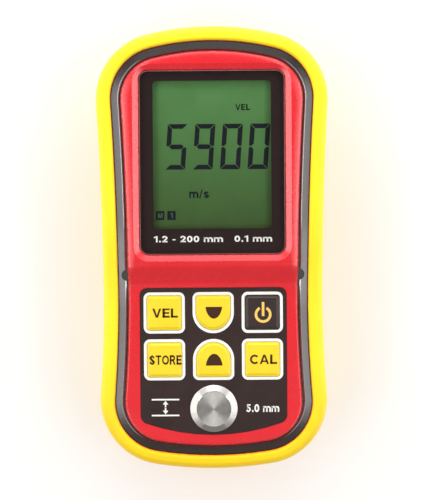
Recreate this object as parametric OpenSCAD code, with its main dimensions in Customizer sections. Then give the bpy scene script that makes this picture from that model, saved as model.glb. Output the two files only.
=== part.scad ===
// Handheld ultrasonic thickness gauge in a rubber boot, lying on its back.
// X points right, Y towards the probe sockets, Z out of the display.
// The origin is the middle of the footprint, on the surface it lies on. Millimetres.

/* [Body outline] */
// Length over the boot
body_length = 146; // [144:1:152]
// Widest width, across the display end
head_width = 76.4; // [70:0.2:82]
// How far each side draws in at the waist
waist_pinch = 1.9; // [1.6:0.1:2.8]
// How far each side draws in at the keypad end
foot_pinch = 0.5; // [0.2:0.1:1.2]
// Corner radius of the display end
head_radius = 22; // [20:0.5:24]
// Corner radius of the keypad end
foot_radius = 21.7; // [20:0.1:24]
// Rise of the display end's bow above its corners
head_crown = 2; // [1.6:0.1:2.6]
// Rise of the keypad end's bow above its corners
foot_crown = 1.3; // [1.1:0.1:2]
// Distance of the waist below the middle of the length
waist_drop = 14; // [10:1:18]

/* [Boot] */
// Thickness of the side wall
boot_wall = 2.5; // [2:0.1:3]
// Thickness of the back lip
boot_back = 2.2; // [1.8:0.1:3]
// Thickness of the front lip
boot_lip = 2; // [1.5:0.1:2.5]
// Reach of the front lip inwards from the widest line
boot_reach = 5.3; // [5:0.1:5.6]
// Reach of the back lip inwards from the widest line
boot_back_reach = 12; // [11:0.5:13]
// Width of the round between back and side
boot_round = 5; // [3:0.5:6]

/* [Case] */
// Depth from the back to the rim beside the keypad
case_depth = 22.7; // [22.5:0.1:25]
// Depth of the rear shell
rear_depth = 12.7; // [12.5:0.1:14]
// Wall thickness of both shells
case_wall = 2; // [1.6:0.1:2.4]
// Round between the back and the sides of the rear shell
case_round = 4; // [3:0.5:5]
// Rise of the display hood above the keypad
hood_rise = 3.5; // [3:0.1:5]
// Length of the rim's slope towards the head, beyond the panel's step
rim_run_head = 16; // [12:1:20]
// Length of the rim's slope towards the foot, beyond the panel's step
rim_run_foot = 8; // [6:1:12]
// Height of the centre panel above the rim
panel_rise = 1.2; // [1:0.1:1.6]
// Width of the rim left between boot and trim
rim_width = 0.1; // [0.1:0.1:0.6]
// Width of the trim band
trim_width = 3.3; // [2.8:0.1:3.6]
// Depth of the groove for the trim band
trim_depth = 1; // [0.8:0.1:1.2]

/* [Display] */
// Case beside the lens, from the widest line
lens_side = 14.45; // [14.2:0.05:16]
// Height of the lens
lens_height = 59.9; // [57:0.1:61]
// Corner radius of the lens
lens_radius = 3.1; // [2:0.1:5]
// Thickness of the lens
lens_thickness = 1.5; // [1:0.1:2]
// Depth of the lens below the hood
lens_recess = 0.9; // [0.5:0.1:1.2]
// Width of the bevel round the lens
lens_bevel = 1.9; // [1:0.1:2.2]
// Distance from the boot's end to the lens
lens_margin = 14.8; // [14.6:0.1:16]
// Black border beside the visible display
view_side = 4.6; // [4.1:0.1:5.6]
// Height of the visible display
view_height = 48; // [46:0.5:49]
// Black border above the visible display
view_border = 3.45; // [2.8:0.05:4]
// Thickness of the display glass
lcd_thickness = 2.8; // [2:0.1:3]

/* [Keypad] */
// Panel left beside the overlay at the waist
overlay_margin = 3.7; // [3.2:0.05:4.2]
// Space between the key columns
key_space_x = 2.55; // [2.1:0.05:3]
// Space between the key rows
key_space_y = 1.9; // [1.6:0.1:2.4]
// Corner radius of a key over its border
key_radius = 2; // [1.6:0.1:3]
// Width of the printed border
key_border = 1.05; // [0.95:0.05:1.5]
// Height of a key above the overlay
key_proud = 0.5; // [0.3:0.1:0.8]
// Travel of a key
key_travel = 0.4; // [0.2:0.05:0.5]
// Thickness of the keypad overlay
overlay_thickness = 0.5; // [0.3:0.1:0.7]
// Overlay beside the outer keys
overlay_side = 1.2; // [0.8:0.05:1.6]
// Overlay above the upper keys
overlay_head = 1.4; // [1:0.1:2]
// Distance from the boot's end to the overlay
foot_margin = 12.3; // [11.6:0.1:13]
// Radius of the overlay's bowed end
overlay_bow = 66; // [60:1:90]
// Height of a switch body on the board
switch_height = 3.2; // [3:0.1:3.6]

/* [Test block] */
// Diameter of the block
block_diameter = 15.5; // [13:0.1:16]
// Thickness of the block
block_thickness = 5; // [4.5:0.1:5.5]
// Width of its bevel
block_bevel = 2.1; // [1:0.1:3]
// Height of its face above the overlay
block_proud = 1.4; // [1:0.1:2]

/* [Battery] */
// Diameter of a cell
cell_diameter = 10.5; // [10:0.1:10.8]
// Length of a cell
cell_length = 44.5; // [43:0.5:45.5]
// Length of a fitted spring
spring_length = 5.2; // [4:0.1:6]
// Distance from the boot's end to the battery box
battery_margin = 15.5; // [15:0.5:18]
// Thickness of the battery door
door_thickness = 1.8; // [1.6:0.1:2.2]
// Radius of the door's hinge pins
hinge_pin = 0.8; // [0.6:0.05:1]

/* [Sockets] */
// Spacing of the two probe sockets
socket_spacing = 18; // [16:0.5:20]
// Bore for the plug
socket_bore = 5; // [4.4:0.1:5.4]
// Depth of the bore
socket_depth = 6.5; // [5:0.5:7.5]
// Diameter of the thread behind the flange
socket_thread = 7; // [6.6:0.1:7.6]
// Diameter of the flange
socket_flange = 9; // [8.4:0.1:9.6]

/* [Node] */
// Sub-part to draw

/* [Hidden] */
$fn = 48;
fit = 0.1;
slack = 0.15;
over = 1;

// Points along one half of the outline
crown_steps = 5;
corner_steps = 9;
flank_steps = 4;
hood_steps = 8;
rim_steps = 4;

end_y = body_length / 2;
waist_x = head_width / 2 - waist_pinch;
waist_y = -waist_drop;
head_centre = [head_width / 2 - head_radius, end_y - head_crown - head_radius];
foot_centre = [head_width / 2 - foot_pinch - foot_radius, foot_crown + foot_radius - end_y];
head_bow = bow_radius(head_centre, head_radius, head_crown);
foot_bow = bow_radius(foot_centre, foot_radius, foot_crown);
head_flank = flank_radius(head_centre, head_radius);
foot_flank = flank_radius(foot_centre, foot_radius);
head_from = atan2(head_centre[1] - end_y + head_bow, head_centre[0]);
head_to = atan2(waist_y - head_centre[1], waist_x + head_flank - head_centre[0]);
foot_from = atan2(waist_y - foot_centre[1], waist_x + foot_flank - foot_centre[0]);
foot_to = atan2(foot_centre[1] + end_y - foot_bow, foot_centre[0]);

// Heights
case_d = boot_wall + fit;
case_back = boot_back + fit;
rear_floor = case_back + case_wall;
split_z = case_back + rear_depth;
rim_z = case_back + case_depth;
panel_z = rim_z + panel_rise;
hood_z = panel_z + hood_rise;
lip_z = rim_z + fit + boot_lip;
groove_out = boot_reach + rim_width;
groove_in = groove_out + trim_width;
groove_wall = 0.6;
panel_edge = 0.2;
panel_round = 0.8;
hood_round = 2.6;
rim_round = 1;
cavity_d = case_d + case_wall;
low_ceiling = rim_z - trim_depth - case_wall;

// Display
lens_width = head_width - 2 * lens_side;
view_width = lens_width - 2 * view_side;
lens_top = end_y - lens_margin;
lens_y = lens_top - lens_height / 2;
lens_z = hood_z - lens_recess;
lens_back = lens_z - lens_thickness;
mask_thickness = 0.2;
seat_z = lens_back - mask_thickness;
seat_thickness = 1.5;
hood_ceiling = seat_z - seat_thickness;
view_y = lens_top - view_border - view_height / 2;
view_radius = 1.3;
window_margin = 0.8;
lcd_gap = 0.2;
lcd_z = hood_ceiling - lcd_gap;
lcd_width = view_width + 4.8;
lcd_height = view_height + 8;
strip_width = 2.4;
strip_edge = 0.4;
frame_wall = 2;
frame_width = lcd_width + 2 * (frame_wall + slack);
frame_height = lcd_height + 2 * (frame_wall + slack);
hood_cavity_y = view_y - frame_height / 2 - over;

// Keypad, measured up from the foot
overlay_width = 2 * (waist_x - groove_in - overlay_margin);
key_size = (overlay_width - 2 * overlay_side - 2 * key_space_x) / 3;
key_pitch_x = key_size + key_space_x;
key_pitch_y = key_size + key_space_y;
overlay_foot = foot_margin - end_y;
overlay_z = panel_z - overlay_thickness;
overlay_head_radius = 2.2;
overlay_foot_radius = 2.7;
block_edge = 0.85;
block_gap = 1.6;
block_y = overlay_foot + block_edge + block_diameter / 2;
lower_row = block_y + block_diameter / 2 + block_gap + key_size / 2;
upper_row = lower_row + key_pitch_y;
overlay_top = upper_row + key_size / 2 + overlay_head;
key_gap = 0.12;
flange_width = 0.8;
flange_thickness = 0.45;
flange_z = overlay_z - fit - flange_thickness;
pocket_z = flange_z - key_travel - slack;
key_floor = 1.4;
key_ceiling = pocket_z - key_floor;
stem_radius = 1.8;
stem_hole = 2.4;
plunger_radius = 1.7;
plunger_proud = 1.1;
print_thickness = 0.06;

// Step between hood and keypad
step_foot = overlay_top + 0.4;
step_top = lens_y - lens_height / 2 - lens_bevel - 0.6;
rim_top = step_top + rim_run_head;
rim_foot = step_foot - rim_run_foot;

// Board
switch_size = 6;
switch_gap = 0.4;
board_thickness = 1.6;
board_z = key_ceiling - switch_gap - switch_height;
board_back = board_z - board_thickness;
board_d = cavity_d + 1.6;
switch_z = board_z + switch_height;
plunger_z = switch_z + plunger_proud;
plunger_foot = switch_z - 1.4;
backlight_z = lcd_z - lcd_thickness;
chip_height = 1.4;
chip_x = 0.19 * head_width;
chip_drop = 10;
chip_rise = 2;
capacitor_radius = 3;
capacitor_height = 7;
capacitor_edge = 3.4;
capacitor_x = head_width / 2 - board_d - capacitor_edge - capacitor_radius;
capacitor_rows = [4, 12];
board_screw_head = 1.9;
board_screw_head_height = 1.3;
board_screw_reach = 2.6;
post_radius = 2.4;
post_screw = 0.95;
post_x = flank_x(lower_row + key_pitch_y / 2, groove_in) - post_radius + 0.6;
post_y = lower_row + key_pitch_y / 2;
hood_post_x = frame_width / 2 + post_radius + 0.4;
hood_post_y = view_y - 8;
board_posts = [[-post_x, post_y], [post_x, post_y], [-hood_post_x, hood_post_y], [hood_post_x, hood_post_y]];

// Block seat
block_foot = panel_z + block_proud - block_thickness;
cup_wall = 1.5;

// Case screws
boss_radius = 3.4;
boss_d = cavity_d + boss_radius + 0.6;
screw_radius = 1.25;
screw_head = 2.4;
screw_head_height = 1.8;
screw_seat = rear_floor + 4;
screw_length = 12;
head_boss = polar(head_centre, head_radius - boss_d, 10);
foot_boss = polar(foot_centre, foot_radius - boss_d, -8);

// Battery box
cell_radius = cell_diameter / 2;
cell_pitch = cell_diameter + 0.7;
cell_z = case_back + door_thickness + 0.3 + cell_radius;
plate_thickness = 0.4;
box_wall = 1.6;
box_x = cell_pitch + cell_radius + 0.55;
box_foot = battery_margin - end_y;
box_head = box_foot + cell_length + spring_length + 2 * plate_thickness;
box_top = cell_z + cell_radius + 0.3;
box_roof = 1.2;
nub_radius = 1.9;
nub_height = 0.8;
tab_width = 2;
rabbet_x = box_x + 1;
hinge_radius = door_thickness / 2 + 0.3;
hinge_y = box_head + box_wall + hinge_radius + 0.7;
hinge_z = case_back + hinge_radius;
pin_length = 2;

// Sockets
socket_z = case_back + 6.9;
socket_y = end_y - case_d - 1.5;
socket_wall = 3.5;
socket_rim = 1.2;
barrel_length = 10.4;
insulator_radius = 2;
contact_radius = 0.45;
contact_length = 7;
socket_flat = socket_spacing / 2 + socket_flange / 2 + 1.4;
washer_thickness = 0.5;
nut_thickness = 2.2;
nut_flats = 9.5;
lead_radius = 0.8;
lead_bend = 3;
lead_start = socket_y + socket_rim - socket_depth - 0.4 - contact_length;

boot_yellow = "#f4dc28";
case_red = "#d8262e";
trim_grey = "#4a4646";
panel_black = "#2e2624";
metal_grey = "#b8b8b4";
nickel = "#cfcbc0";
board_green = "#1f5a38";

function mix(a, b, t) = a + (b - a) * t;
function ease(t) = t * t * (3 - 2 * t);
function polar(c, r, a) = [c[0] + r * cos(a), c[1] + r * sin(a)];

// Radius of the end bow that meets a corner circle and stands crown above it
function bow_radius(c, r, crown) = (c[0] * c[0] + pow(r + crown, 2) - r * r) / (2 * crown);

// Radius of the hollow flank that meets a corner circle and is upright at the waist
function flank_radius(c, r) =
    let (a = waist_x - c[0], b = waist_y - c[1])
    (a * a + b * b - r * r) / (2 * (r - a));

function flank_x(y, d) =
    let (r = y > waist_y ? head_flank : foot_flank)
    waist_x + r - sqrt(pow(r + d, 2) - pow(y - waist_y, 2));

function flank_point(y, d) = [flank_x(y, d), y];

// Right half of the outline, inset by d, from the head to the foot
function half_outline(d) =
    let (head_end = head_centre[1] + (head_radius - d) * sin(head_to))
    let (foot_end = foot_centre[1] + (foot_radius - d) * sin(foot_from))
    concat(
        [for (k = [0 : crown_steps - 1])
            polar([0, end_y - head_bow], head_bow - d, mix(90, head_from, k / crown_steps))],
        [for (k = [0 : corner_steps - 1])
            polar(head_centre, head_radius - d, mix(head_from, head_to, k / corner_steps))],
        [for (k = [0 : flank_steps - 1]) flank_point(mix(head_end, rim_top, k / flank_steps), d)],
        [for (k = [0 : rim_steps - 1]) flank_point(mix(rim_top, step_top, k / rim_steps), d)],
        [for (k = [0 : hood_steps - 1]) flank_point(mix(step_top, step_foot, k / hood_steps), d)],
        [for (k = [0 : rim_steps - 1]) flank_point(mix(step_foot, rim_foot, k / rim_steps), d)],
        [for (k = [0 : flank_steps - 1]) flank_point(mix(rim_foot, foot_end, k / flank_steps), d)],
        [for (k = [0 : corner_steps - 1])
            polar(foot_centre, foot_radius - d, mix(foot_from, foot_to, k / corner_steps))],
        [for (k = [0 : crown_steps])
            polar([0, foot_bow - end_y], foot_bow - d, mix(foot_to, -90, k / crown_steps))]);

half_count = 2 * (crown_steps + corner_steps + flank_steps + rim_steps) + hood_steps;
ring_count = 2 * half_count;

function outline(d) =
    let (h = half_outline(d))
    concat(h, [for (k = [half_count - 1 : -1 : 1]) [-h[k][0], h[k][1]]]);

// 1 above a step that runs from top to foot, 0 below it, eased between them
function lift(y, top, foot) = 1 - ease(min(max((top - y) / (top - foot), 0), 1));

// Points of a moulding's section: inset and height beside the keypad, inset on the hood, and the shares of
// the hood's rise that follow the rim's long slope and the panel's short step
function rim_point(d, z, share) = [d, z, d, share, 0];
function panel_point(d, z, hood_d) = [d, z, hood_d, 0, 1];

function ring(p) =
    let (low = outline(p[0]), high = outline(p[2]))
    [for (k = [0 : ring_count - 1])
        let (rim = lift(low[k][1], rim_top, rim_foot), panel = lift(low[k][1], step_top, step_foot))
        [mix(low[k][0], high[k][0], panel), mix(low[k][1], high[k][1], panel),
            p[1] + hood_rise * (p[3] * rim + p[4] * panel)]];

function side_faces(a, b) = [for (k = [0 : ring_count - 1]) let (n = (k + 1) % ring_count)
    each [[a + k, a + n, b + n], [a + k, b + n, b + k]]];

function cap_faces(a) = concat(
    [[a, a + 1, a + ring_count - 1]],
    [for (k = [1 : half_count - 2])
        each [[a + k, a + k + 1, a + ring_count - k - 1], [a + k, a + ring_count - k - 1, a + ring_count - k]]],
    [[a + half_count - 1, a + half_count, a + half_count + 1]]);

function flipped(faces) = [for (f = faces) [f[2], f[1], f[0]]];

// A closed section carried round the outline
module moulded_ring(section) {
    last = len(section) - 1;
    polyhedron(
        points = [for (p = section) each ring(p)],
        faces = [for (k = [0 : last])
            each side_faces(k * ring_count, (k == last ? 0 : k + 1) * ring_count)]);
}

// A solid built up from rings, closed at the back and at the front
module moulded_solid(section) {
    last = len(section) - 1;
    polyhedron(
        points = [for (p = section) each ring(p)],
        faces = concat(
            flipped(cap_faces(0)),
            [for (k = [0 : last - 1]) each side_faces(k * ring_count, (k + 1) * ring_count)],
            cap_faces(last * ring_count)));
}

module prism(d, low, high) {
    translate([0, 0, low]) linear_extrude(high - low) polygon(outline(d));
}

module rounded_rect(w, h, r) {
    square([w - 2 * r, h], center = true);
    square([w, h - 2 * r], center = true);
    for (x = [-1, 1], y = [-1, 1]) translate([x * (w / 2 - r), y * (h / 2 - r)]) circle(r);
}

module plate(w, h, low, high) {
    translate([-w / 2, -h / 2, low]) cube([w, h, high - low]);
}

module rod(p, r, low, high) {
    translate([p[0], p[1], low]) cylinder(r = r, h = high - low);
}

// Children turned from Z to Y, with their zero on the sockets' flat
module at_socket(x) {
    translate([x, socket_y, socket_z]) rotate([-90, 0, 0]) children();
}

module at_sockets() {
    for (s = [-1, 1]) at_socket(s * socket_spacing / 2) children();
}

module at_bosses() {
    for (p = [head_boss, foot_boss], s = [-1, 1]) translate([s * p[0], p[1], 0]) children();
}

// Boot

boot_low = 8;
boot_high = 17;
boot_top_round = 3.2;
boot_edge = 0.5;
inner_round = case_round + fit;

boot_section = concat(
    [rim_point(boot_back_reach, boot_back, 0),
        rim_point(boot_back_reach, boot_edge, 0),
        rim_point(boot_back_reach - boot_edge, 0, 0)],
    [for (a = [0, 24, 48, 70, 90]) rim_point(boot_round * (1 - sin(a)), boot_low * (1 - cos(a)), 0)],
    [for (a = [0, 28, 52, 72, 90])
        rim_point(boot_top_round * (1 - cos(a)), mix(boot_high, lip_z, sin(a)), mix(0.5, 1, sin(a)))],
    [rim_point(boot_reach - boot_edge, lip_z, 1),
        rim_point(boot_reach - 0.1, lip_z - 0.2, 1),
        rim_point(boot_reach, lip_z - boot_edge, 1),
        rim_point(boot_reach, rim_z + fit, 1)],
    [for (a = [0, 45, 90])
        let (r = rim_round + fit)
        rim_point(boot_wall + r * (1 - sin(a)), rim_z + fit - r * (1 - cos(a)), 1)],
    [for (a = [90, 60, 30, 0])
        rim_point(boot_wall + inner_round * (1 - sin(a)), boot_back + inner_round * (1 - cos(a)), 0)]);

module protective_boot() {
    color(boot_yellow) difference() {
        moulded_ring(boot_section);
        socket_window();
    }
}

// Opening in the boot through which the plugs reach the sockets
module socket_window() {
    r = socket_flange / 2 + 0.9;
    depth = 2 * (case_d + over);
    at_sockets() translate([0, 0, -over]) cylinder(r = r, h = depth);
    at_socket(0) translate([-socket_spacing / 2, -r, -over]) cube([socket_spacing, 2 * r, depth]);
}

// Front shell

front_section = concat(
    [rim_point(case_d, split_z, 0)],
    [for (a = [90, 45, 0])
        rim_point(case_d + rim_round * (1 - sin(a)), rim_z - rim_round * (1 - cos(a)), 1)],
    [rim_point(groove_out, rim_z, 1),
        rim_point(groove_out, rim_z - trim_depth, 1),
        rim_point(groove_in, rim_z - trim_depth, 1)],
    [for (a = [0, 30, 60, 90])
        panel_point(groove_in + panel_round * (1 - cos(a)), mix(rim_z + panel_edge, panel_z, sin(a)),
            groove_in + hood_round * (1 - cos(a)))]);

module front_case() {
    color(case_red) difference() {
        union() {
            difference() {
                moulded_solid(front_section);
                prism(cavity_d, split_z - over, low_ceiling);
                prism(groove_in + groove_wall, split_z - over, key_ceiling);
                hood_cavity();
            }
            front_posts();
        }
        lens_pocket();
        translate([0, 0, overlay_z]) linear_extrude(hood_rise) polygon(overlay_outline(fit));
        key_pockets();
        rod([0, block_y], block_diameter / 2 + 0.05, block_foot, panel_z + over);
        at_bosses() rod([0, 0], screw_radius + 0.05, split_z - over, screw_seat + screw_length + 0.5);
        for (p = board_posts) rod(p, post_screw + 0.05, board_z - over, board_z + 3);
    }
}

// Room under the hood, narrower where the rim comes down beside it
module hood_cavity() {
    translate([0, 0, split_z - over]) linear_extrude(hood_ceiling - split_z + over)
        for (part = [[cavity_d, rim_top], [groove_in + groove_wall, hood_cavity_y]]) intersection() {
            polygon(outline(part[0]));
            translate([-head_width / 2, part[1]]) square([head_width, body_length]);
        }
}

module front_posts() {
    for (s = [-1, 1]) {
        rod([s * head_boss[0], head_boss[1]], boss_radius, split_z, hood_ceiling + 0.5);
        rod([s * foot_boss[0], foot_boss[1]], boss_radius, split_z, low_ceiling + 0.5);
        rod([s * post_x, post_y], post_radius, board_z, key_ceiling + 0.5);
        rod([s * hood_post_x, hood_post_y], post_radius, board_z, hood_ceiling + 0.5);
    }
    rod([0, block_y], block_diameter / 2 + cup_wall, block_foot - cup_wall, key_ceiling + 0.5);
}

module lens_pocket() {
    gap = 2 * fit;
    rise = lens_recess + over;
    spread = 2 * lens_bevel * rise / lens_recess;
    translate([0, lens_y, seat_z]) linear_extrude(hood_rise)
        rounded_rect(lens_width + gap, lens_height + gap, lens_radius + fit);
    translate([0, lens_y, lens_z]) hull() {
        linear_extrude(0.01, $fn = 32)
            rounded_rect(lens_width + gap, lens_height + gap, lens_radius + fit);
        translate([0, 0, rise]) linear_extrude(0.01, $fn = 32)
            rounded_rect(lens_width + spread, lens_height + spread, lens_radius + spread / 2);
    }
    translate([0, view_y, hood_ceiling - over]) linear_extrude(seat_z - hood_ceiling + 2 * over)
        rounded_rect(view_width + 2 * window_margin, view_height + 2 * window_margin, view_radius);
}

module key_pockets() {
    for (k = KEYS) translate(k[1]) {
        translate([0, 0, pocket_z]) linear_extrude(hood_rise)
            key_shape(k[2], key_border - flange_width - slack);
        rod([0, 0], stem_hole, key_ceiling - over, pocket_z + over);
    }
}

// Trim band

trim_gap = 0.05;
trim_floor = rim_z - trim_depth + trim_gap;
trim_ledge = trim_floor + 0.25;

function trim_point(share, height) =
    rim_point(mix(groove_out + trim_gap, groove_in - trim_gap, share), height, 1);

// Crest beside the boot, a long slope inwards, a shoulder and a low ledge
trim_section = [
    trim_point(0, trim_floor),
    trim_point(0, rim_z + 0.2),
    trim_point(0.12, rim_z + 0.2),
    trim_point(0.3, rim_z + 0.08),
    trim_point(0.58, rim_z - 0.16),
    trim_point(0.84, rim_z - 0.45),
    trim_point(0.87, trim_ledge),
    trim_point(1, trim_ledge),
    trim_point(1, trim_floor)];

module front_trim() {
    color(trim_grey) moulded_ring(trim_section);
}

// Display

module display_lens() {
    color("#dfe6e6", 0.35) translate([0, lens_y, lens_back]) linear_extrude(lens_thickness)
        rounded_rect(lens_width, lens_height, lens_radius);
}

module lens_mask() {
    color(panel_black) translate([0, 0, seat_z]) linear_extrude(mask_thickness) difference() {
        translate([0, lens_y])
            rounded_rect(lens_width - 2 * fit, lens_height - 2 * fit, lens_radius - fit);
        translate([0, view_y]) rounded_rect(view_width, view_height, view_radius);
    }
}

module lcd_glass() {
    color("#5c9a63") translate([0, view_y, 0]) plate(lcd_width, lcd_height, backlight_z, lcd_z);
}

module lcd_backlight() {
    height = lcd_height - 2 * (strip_width + 2 * strip_edge);
    color("#e8ece0") translate([0, view_y, 0]) plate(lcd_width, height, board_z, backlight_z);
}

module lcd_contact_strips() {
    offset_y = lcd_height / 2 - strip_edge - strip_width / 2;
    color("#5a5a62") for (s = [-1, 1]) translate([0, view_y + s * offset_y, 0])
        plate(view_width, strip_width, board_z, backlight_z);
}

module lcd_frame() {
    color("#d9d9d2") translate([0, view_y, board_z]) linear_extrude(lcd_z - board_z) difference() {
        square([frame_width, frame_height], center = true);
        square([lcd_width + 2 * slack, lcd_height + 2 * slack], center = true);
    }
}

// Keypad

KEYS = [
    ["velocity", [-key_pitch_x, upper_row, 0], "square"],
    ["down", [0, upper_row, 0], "down"],
    ["power", [key_pitch_x, upper_row, 0], "square"],
    ["store", [-key_pitch_x, lower_row, 0], "square"],
    ["up", [0, lower_row, 0], "up"],
    ["calibrate", [key_pitch_x, lower_row, 0], "square"]];

// Overlay with straight sides and a bowed foot, grown by e
function overlay_outline(e) =
    let (w = overlay_width / 2, bow_y = overlay_foot + overlay_bow)
    let (x1 = w - overlay_head_radius, y1 = overlay_top - overlay_head_radius)
    let (x2 = w - overlay_foot_radius, reach = overlay_bow - overlay_foot_radius)
    let (y2 = bow_y - sqrt(reach * reach - x2 * x2), a = atan2(y2 - bow_y, x2))
    concat(
        [for (t = [90, 60, 30, 0]) polar([x1, y1], overlay_head_radius + e, t)],
        [for (k = [0 : 3]) polar([x2, y2], overlay_foot_radius + e, mix(0, a, k / 4))],
        [for (k = [0 : 8]) polar([0, bow_y], overlay_bow + e, mix(a, -180 - a, k / 8))],
        [for (k = [1 : 4]) polar([-x2, y2], overlay_foot_radius + e, mix(-180 - a, -180, k / 4))],
        [for (t = [180, 150, 120, 90]) polar([-x1, y1], overlay_head_radius + e, t)]);

// Outline of a key, inset from its printed border
module key_shape(kind, inset) {
    h = key_size / 2 - inset;
    r = max(key_radius - inset, 0.5);
    if (kind == "square") rounded_rect(2 * h, 2 * h, r);
    if (kind == "down") arrow_shape(h, r);
    if (kind == "up") mirror([0, 1]) arrow_shape(h, r);
}

// Half square, half round
module arrow_shape(h, r) {
    circle(h);
    translate([-h, 0]) square([2 * h, h - r]);
    translate([r - h, 0]) square([2 * (h - r), h]);
    for (s = [-1, 1]) translate([s * (h - r), h - r]) circle(r);
}

module keypad_overlay() {
    color(panel_black) translate([0, 0, overlay_z]) linear_extrude(overlay_thickness) difference() {
        polygon(overlay_outline(0));
        for (k = KEYS) translate(k[1]) key_shape(k[2], key_border - key_gap);
        translate([0, block_y]) circle(block_diameter / 2 + key_gap);
    }
}

module key_borders() {
    color("#f4f4f0") for (k = KEYS) translate([k[1][0], k[1][1], panel_z])
        linear_extrude(print_thickness) difference() {
            key_shape(k[2], 0);
            key_shape(k[2], key_border - key_gap);
        }
}

module key(k) {
    translate(k[1]) {
        translate([0, 0, flange_z]) linear_extrude(flange_thickness)
            key_shape(k[2], key_border - flange_width);
        translate([0, 0, flange_z]) linear_extrude(panel_z + key_proud - flange_z)
            key_shape(k[2], key_border);
        rod([0, 0], stem_radius, plunger_z, flange_z + flange_thickness);
    }
}

module plunger(k) {
    color("#e8e4d8") translate(k[1]) rod([0, 0], plunger_radius, plunger_foot, plunger_z);
}

module key_velocity() {
    color(boot_yellow) key(KEYS[0]);
}

module key_down() {
    color(boot_yellow) key(KEYS[1]);
}

module key_power() {
    color(panel_black) key(KEYS[2]);
}

module key_store() {
    color(boot_yellow) key(KEYS[3]);
}

module key_up() {
    color(boot_yellow) key(KEYS[4]);
}

module key_calibrate() {
    color(boot_yellow) key(KEYS[5]);
}

module plunger_velocity() {
    plunger(KEYS[0]);
}

module plunger_down() {
    plunger(KEYS[1]);
}

module plunger_power() {
    plunger(KEYS[2]);
}

module plunger_store() {
    plunger(KEYS[3]);
}

module plunger_up() {
    plunger(KEYS[4]);
}

module plunger_calibrate() {
    plunger(KEYS[5]);
}

module switch_bodies() {
    color("#3a3a3c") for (k = KEYS) translate(k[1]) difference() {
        plate(switch_size, switch_size, board_z, switch_z);
        rod([0, 0], plunger_radius + fit, plunger_foot - key_travel - slack, switch_z + over);
    }
}

module test_block() {
    r = block_diameter / 2;
    shoulder = block_thickness - block_proud + 0.2;
    color(metal_grey) translate([0, block_y, block_foot]) rotate_extrude()
        polygon([[0, 0], [r, 0], [r, shoulder], [r - block_bevel, block_thickness], [0, block_thickness]]);
}

// Board

module main_board() {
    color(board_green) translate([0, 0, board_back]) linear_extrude(board_thickness) difference() {
        polygon(outline(board_d));
        for (p = [head_boss, foot_boss], s = [-1, 1])
            translate([s * p[0], p[1]]) circle(boss_radius + 0.5);
        for (p = board_posts) translate(p) circle(post_screw + slack);
    }
}

module board_chips() {
    chips = [[12, 12, 0, -chip_drop], [8, 10, -chip_x, chip_rise], [7, 9, chip_x, chip_rise]];
    color("#262628") for (c = chips)
        translate([c[2], view_y + c[3], 0]) plate(c[0], c[1], board_back - chip_height, board_back);
}

module board_capacitors() {
    color("#3c4a78") for (y = capacitor_rows)
        rod([-capacitor_x, view_y + y], capacitor_radius, board_back - capacitor_height, board_back);
}

module board_screws() {
    color(nickel) for (p = board_posts) {
        rod(p, board_screw_head, board_back - board_screw_head_height, board_back);
        rod(p, post_screw, board_back - board_screw_head_height / 2, board_z + board_screw_reach);
    }
}

// Rear shell

rear_section = concat(
    [for (a = [0, 30, 60, 90])
        rim_point(case_d + case_round * (1 - sin(a)), case_back + case_round * (1 - cos(a)), 0)],
    [rim_point(case_d, split_z, 0)]);

module rear_case() {
    color(case_red) difference() {
        union() {
            difference() {
                moulded_solid(rear_section);
                prism(cavity_d, rear_floor, split_z + over);
            }
            battery_box();
            at_bosses() rod([0, 0], boss_radius, rear_floor - 0.5, split_z);
            socket_block();
        }
        battery_space();
        at_bosses() {
            rod([0, 0], screw_head + 0.3, case_back - over, screw_seat);
            rod([0, 0], screw_radius + fit, screw_seat - over, split_z + over);
        }
        translate([-socket_flat, socket_y, socket_z - socket_flange / 2 - 0.2])
            cube([2 * socket_flat, case_d + over, socket_flange + 0.4]);
        at_sockets() translate([0, 0, -socket_wall - over])
            cylinder(r = socket_thread / 2 + fit, h = socket_wall + 2 * over);
    }
}

module battery_box() {
    low = case_back + 0.5;
    depth = box_head - box_foot + 2 * box_wall;
    translate([-box_x - box_wall, box_foot - box_wall, low])
        cube([2 * (box_x + box_wall), depth, box_top + box_roof - low]);
    translate([-rabbet_x - pin_length - 1.5, box_head + 0.5, low])
        cube([2 * (rabbet_x + pin_length + 1.5), hinge_y - box_head + hinge_radius + 1.2,
            hinge_z + hinge_radius + 1.5 - low]);
}

// Room for the cells, the door and its hinge
module battery_space() {
    low = case_back - over;
    slot = hinge_radius + 0.25;
    translate([-box_x, box_foot, low]) cube([2 * box_x, box_head - box_foot, box_top - low]);
    translate([-rabbet_x, box_foot - 1.4, low])
        cube([2 * rabbet_x, hinge_y - box_foot + 1.4, case_back + door_thickness + fit - low]);
    translate([-rabbet_x, hinge_y, low]) cube([2 * rabbet_x, slot, hinge_z - low]);
    translate([0, hinge_y, hinge_z]) rotate([0, 90, 0]) {
        cylinder(r = slot, h = 2 * rabbet_x, center = true);
        cylinder(r = hinge_pin + 0.05, h = 2 * (rabbet_x + pin_length), center = true);
    }
    translate([-cell_pitch - tab_width / 2 - 0.3, box_head - plate_thickness - 0.3, box_top - over])
        cube([tab_width + 0.6, plate_thickness + 0.3, box_roof + 2 * over]);
    translate([cell_pitch - tab_width / 2 - 0.3, box_foot, box_top - over])
        cube([tab_width + 0.6, plate_thickness + 0.3, box_roof + 2 * over]);
}

// Thickened wall that carries the sockets
module socket_block() {
    low = rear_floor - 0.5;
    translate([0, 0, low]) linear_extrude(split_z - 0.2 - low) intersection() {
        polygon(outline(case_d + 1.2));
        translate([-socket_flat - 1, socket_y - socket_wall])
            square([2 * socket_flat + 2, 2 * socket_wall]);
    }
}

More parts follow.
